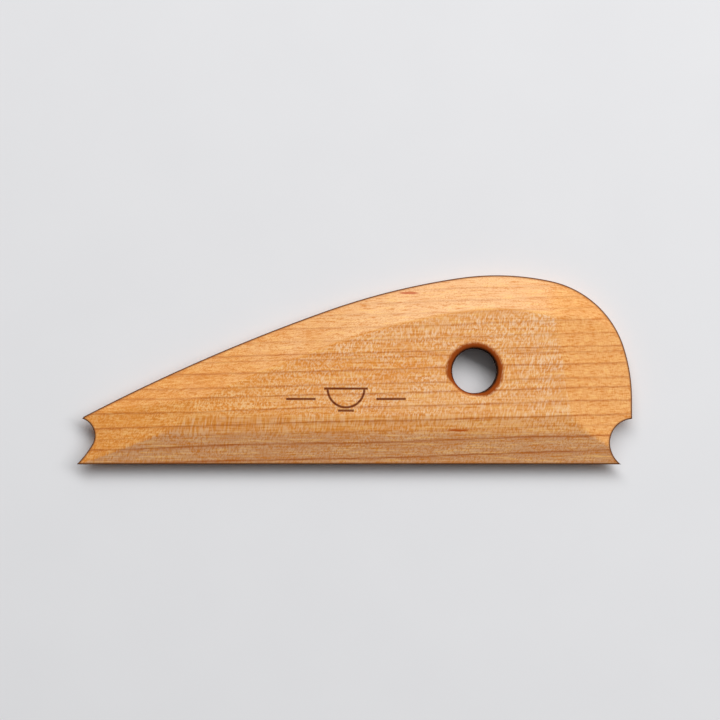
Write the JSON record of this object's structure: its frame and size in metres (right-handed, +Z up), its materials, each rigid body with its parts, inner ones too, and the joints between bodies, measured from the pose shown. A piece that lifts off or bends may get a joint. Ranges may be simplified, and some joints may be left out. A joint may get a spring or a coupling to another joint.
{
  "type": "pottery profile rib",
  "caption": "Flat maple rib for shaping and trimming clay, with a straight working edge, an arched back, a concave profile notch at each end, bevelled faces and a finger hole.",
  "frame": {"origin": "under the middle of the bounding box, on the surface that the rib lies on", "axes": "+X along the straight working edge towards the broad end with the hole, +Y from the working edge towards the arched back, +Z up through the thickness"},
  "size_m": [0.1396, 0.0476, 0.0079],
  "materials": {
    "maple": "satin"
  },
  "bodies": {
    "root": {"profile_rib": "maple"}
  },
  "joints": []
}
